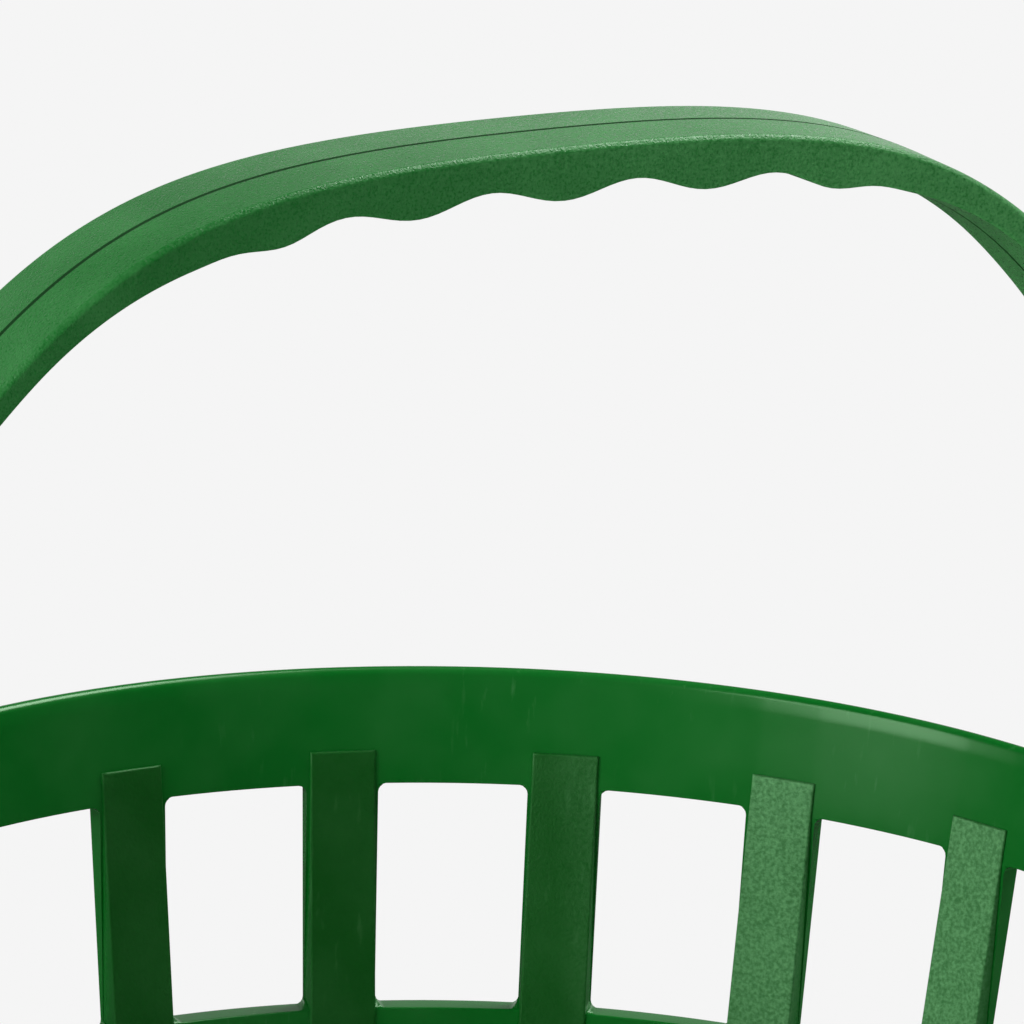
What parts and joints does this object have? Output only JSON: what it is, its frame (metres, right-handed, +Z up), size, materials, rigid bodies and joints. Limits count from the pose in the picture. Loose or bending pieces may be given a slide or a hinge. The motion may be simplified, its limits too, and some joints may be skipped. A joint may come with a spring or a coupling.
{
  "type": "range ball basket",
  "caption": "Round tapered open-sided plastic basket for range balls, with an upright swinging carry handle that has finger grips.",
  "frame": {"origin": "centre of the foot ring, on the surface that the basket stands on", "axes": "+Z up through the mouth of the basket, +X through the two handle pivots, +Y across the handle; the upright handle lies in the XZ plane"},
  "size_m": [0.2548, 0.236, 0.3185],
  "materials": {
    "basket_plastic": "green moulded polypropylene, semi-gloss with a fine mottled grain",
    "handle_plastic": "green moulded polypropylene, fine spark-eroded grain, satin",
    "pin_plastic": "green moulded plastic, smooth semi-gloss"
  },
  "bodies": {
    "basket": {"basket": "basket_plastic", "pivot_pin_left": "pin_plastic", "pivot_pin_right": "pin_plastic"},
    "handle": {"handle": "handle_plastic"}
  },
  "joints": [
    {"name": "handle_swing", "type": "hinge", "parent": "basket", "child": "handle", "pos_m": [0, 0, 0.193], "axis": [1, 0, 0], "range_deg": [-80, 80]}
  ]
}
